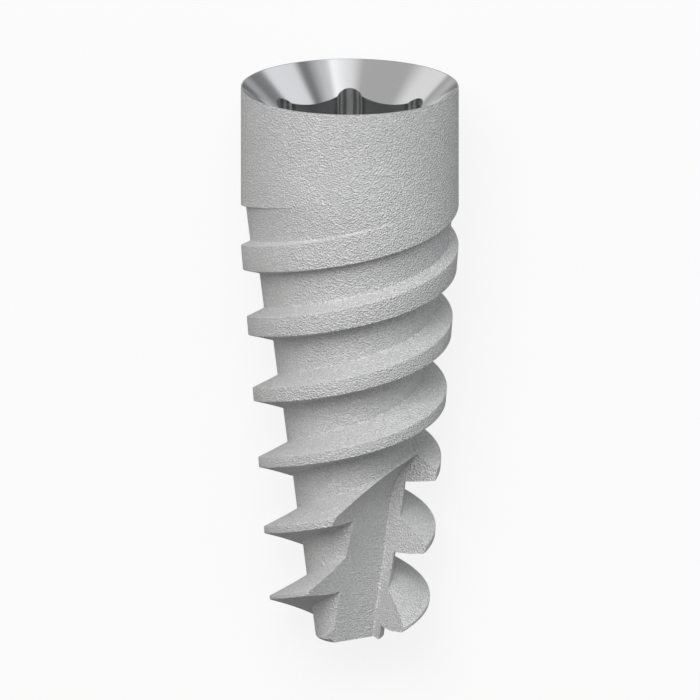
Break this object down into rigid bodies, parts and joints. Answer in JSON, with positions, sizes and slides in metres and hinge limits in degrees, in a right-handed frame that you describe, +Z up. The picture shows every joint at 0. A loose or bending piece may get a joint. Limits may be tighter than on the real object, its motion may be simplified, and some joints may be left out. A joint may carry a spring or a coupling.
{
  "type": "dental implant",
  "caption": "Tapered self-tapping dental implant screw with a coarse thread, helical cutting flutes, and an internal hexagon socket below a conical bevel.",
  "frame": {"origin": "centre of the bounding box's base, on the surface that the implant lies on", "axes": "+Y along the implant's length, from the apex towards the platform; +X across it; +Z up. The implant's own axis rises 4.5 degrees from +Y, because it lies along the cone of its thread crests."},
  "size_m": [0.0038, 0.01, 0.004],
  "materials": {
    "titanium": "titanium alloy, blasted and etched outside, bright turned bevel and socket"
  },
  "bodies": {
    "root": {"implant_body": "titanium"}
  },
  "joints": []
}
